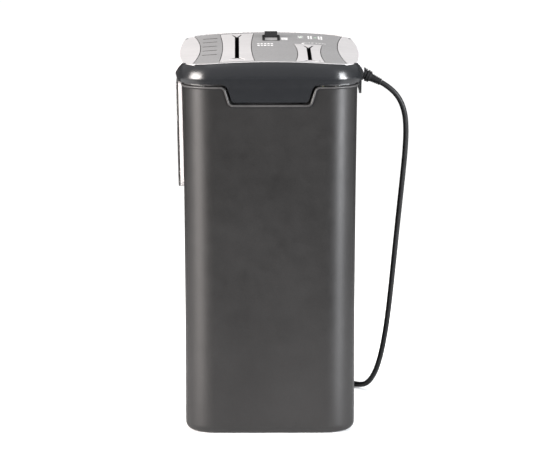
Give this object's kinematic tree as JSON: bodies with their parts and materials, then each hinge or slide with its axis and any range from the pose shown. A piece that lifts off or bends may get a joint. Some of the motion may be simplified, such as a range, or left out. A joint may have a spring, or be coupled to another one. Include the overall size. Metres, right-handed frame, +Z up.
{
  "type": "cross-cut paper shredder",
  "caption": "Paper shredder: a cutting head with paper and disc slots, slide switch, motor and geared cutters, lifting off a tall waste basket with a window.",
  "frame": {"origin": "on the floor under the middle of the waste basket", "axes": "+Z up; slots and cutter shafts run along Y; the window is on the -X side and the mains lead leaves the +X side"},
  "size_m": [0.2774, 0.427, 0.4405],
  "materials": {
    "basket_plastic": "dark pearl grey moulded plastic",
    "gloss_black": "polished black moulding",
    "silver_deck": "satin silver-grey plastic",
    "pearl_panel": "pearl white plastic",
    "smoked_window": "smoked transparent plastic",
    "tray_plastic": "black structural plastic",
    "cutter_steel": "hardened cutter steel, lightly oiled",
    "zinc_plate": "zinc plated sheet and bar",
    "gear_nylon": "natural nylon",
    "bush_bronze": "sintered bronze",
    "rotor_iron": "varnished laminations and winding",
    "board_green": "solder resist on a circuit board",
    "grip_rubber": "soft black grip",
    "lens_green": "tinted lamp lens",
    "cord_pvc": "black flexible PVC",
    "plug_brass": "plated brass"
  },
  "bodies": {
    "basket": {"waste_basket": "basket_plastic", "window_bezel": "pearl_panel", "window_pane": "smoked_window", "power_cord": "cord_pvc", "cord_coil": "cord_pvc", "plug_lead": "cord_pvc", "plug_body": "cord_pvc", "plug_blade_1": "plug_brass", "plug_blade_2": "plug_brass"},
    "head": {"head_housing": "gloss_black", "switch_bezel": "gloss_black", "strain_relief": "gloss_black", "deck_panel": "silver_deck", "front_cheek": "pearl_panel", "rear_cheek": "pearl_panel", "paper_throat": "pearl_panel", "disc_throat": "pearl_panel", "lower_tray": "tray_plastic", "interlock_switch": "tray_plastic", "first_gear_pin": "cutter_steel", "second_gear_pin": "cutter_steel", "disc_idler_pin": "cutter_steel", "near_bearing_plate": "zinc_plate", "far_bearing_plate": "zinc_plate", "disc_bearing_plate": "zinc_plate", "gearbox_plate": "zinc_plate", "tie_rod_1": "zinc_plate", "tie_rod_2": "zinc_plate", "front_stripper": "zinc_plate", "rear_stripper": "zinc_plate", "motor_can": "zinc_plate", "tray_screw_1": "zinc_plate", "tray_screw_2": "zinc_plate", "tray_screw_3": "zinc_plate", "tray_screw_4": "zinc_plate", "front_bush_near": "bush_bronze", "front_bush_far": "bush_bronze", "rear_bush_near": "bush_bronze", "rear_bush_far": "bush_bronze", "circuit_board": "board_green", "status_lens_1": "lens_green", "status_lens_2": "lens_green"},
    "switch": {"switch_slider": "silver_deck", "switch_grip": "grip_rubber"},
    "interlock": {"interlock_plunger": "gear_nylon"},
    "front_cutter": {"front_cutter": "cutter_steel", "front_sync_gear": "cutter_steel"},
    "rear_cutter": {"rear_cutter": "cutter_steel", "rear_sync_gear": "cutter_steel", "drive_gear": "cutter_steel"},
    "disc_front": {"disc_front_cutter": "cutter_steel", "disc_front_gear": "cutter_steel"},
    "disc_rear": {"disc_rear_cutter": "cutter_steel", "disc_rear_gear": "cutter_steel"},
    "disc_idler": {"disc_idler_gear": "gear_nylon"},
    "second_reduction": {"second_reduction_gear": "gear_nylon"},
    "first_reduction": {"first_reduction_gear": "gear_nylon"},
    "motor_rotor": {"motor_rotor": "rotor_iron", "motor_pinion": "cutter_steel"}
  },
  "joints": [
    {"name": "head_lift", "type": "slide", "parent": "basket", "child": "head", "axis": [0, 0, 1], "range_m": [0, 0.12]},
    {"name": "switch_slide", "type": "slide", "parent": "head", "child": "switch", "axis": [0, 1, 0], "range_m": [-0.008, 0.008]},
    {"name": "interlock_slide", "type": "slide", "parent": "head", "child": "interlock", "axis": [0, 0, -1], "range_m": [0, 0.003]},
    {"name": "front_cutter_spin", "type": "hinge", "parent": "head", "child": "front_cutter", "pos_m": [-0.053, 0, 0.38], "axis": [0, 1, 0], "continuous": true},
    {"name": "rear_cutter_spin", "type": "hinge", "parent": "head", "child": "rear_cutter", "pos_m": [-0.023, 0, 0.38], "axis": [0, 1, 0], "continuous": true},
    {"name": "disc_front_spin", "type": "hinge", "parent": "head", "child": "disc_front", "pos_m": [0.0355, 0, 0.384], "axis": [0, 1, 0], "continuous": true},
    {"name": "disc_rear_spin", "type": "hinge", "parent": "head", "child": "disc_rear", "pos_m": [0.0575, 0, 0.384], "axis": [0, 1, 0], "continuous": true},
    {"name": "disc_idler_spin", "type": "hinge", "parent": "head", "child": "disc_idler", "pos_m": [0.00872, 0, 0.37581], "axis": [0, 1, 0], "continuous": true},
    {"name": "second_reduction_spin", "type": "hinge", "parent": "head", "child": "second_reduction", "pos_m": [0.0118, 0, 0.39623], "axis": [0, 1, 0], "continuous": true},
    {"name": "first_reduction_spin", "type": "hinge", "parent": "head", "child": "first_reduction", "pos_m": [0.04027, 0, 0.39894], "axis": [0, 1, 0], "continuous": true},
    {"name": "motor_rotor_spin", "type": "hinge", "parent": "head", "child": "motor_rotor", "pos_m": [0.052, 0, 0.378], "axis": [0, 1, 0], "continuous": true}
  ],
  "couplings": [
    {"joint": "front_cutter_spin", "follows": "rear_cutter_spin", "ratio": -1},
    {"joint": "disc_idler_spin", "follows": "rear_cutter_spin", "ratio": -0.88235},
    {"joint": "disc_front_spin", "follows": "rear_cutter_spin", "ratio": 1.3636},
    {"joint": "disc_rear_spin", "follows": "rear_cutter_spin", "ratio": -1.3636},
    {"joint": "second_reduction_spin", "follows": "rear_cutter_spin", "ratio": -3},
    {"joint": "first_reduction_spin", "follows": "rear_cutter_spin", "ratio": 10},
    {"joint": "motor_rotor_spin", "follows": "rear_cutter_spin", "ratio": -30},
    {"joint": "interlock_slide", "follows": "head_lift", "ratio": 0.025}
  ]
}
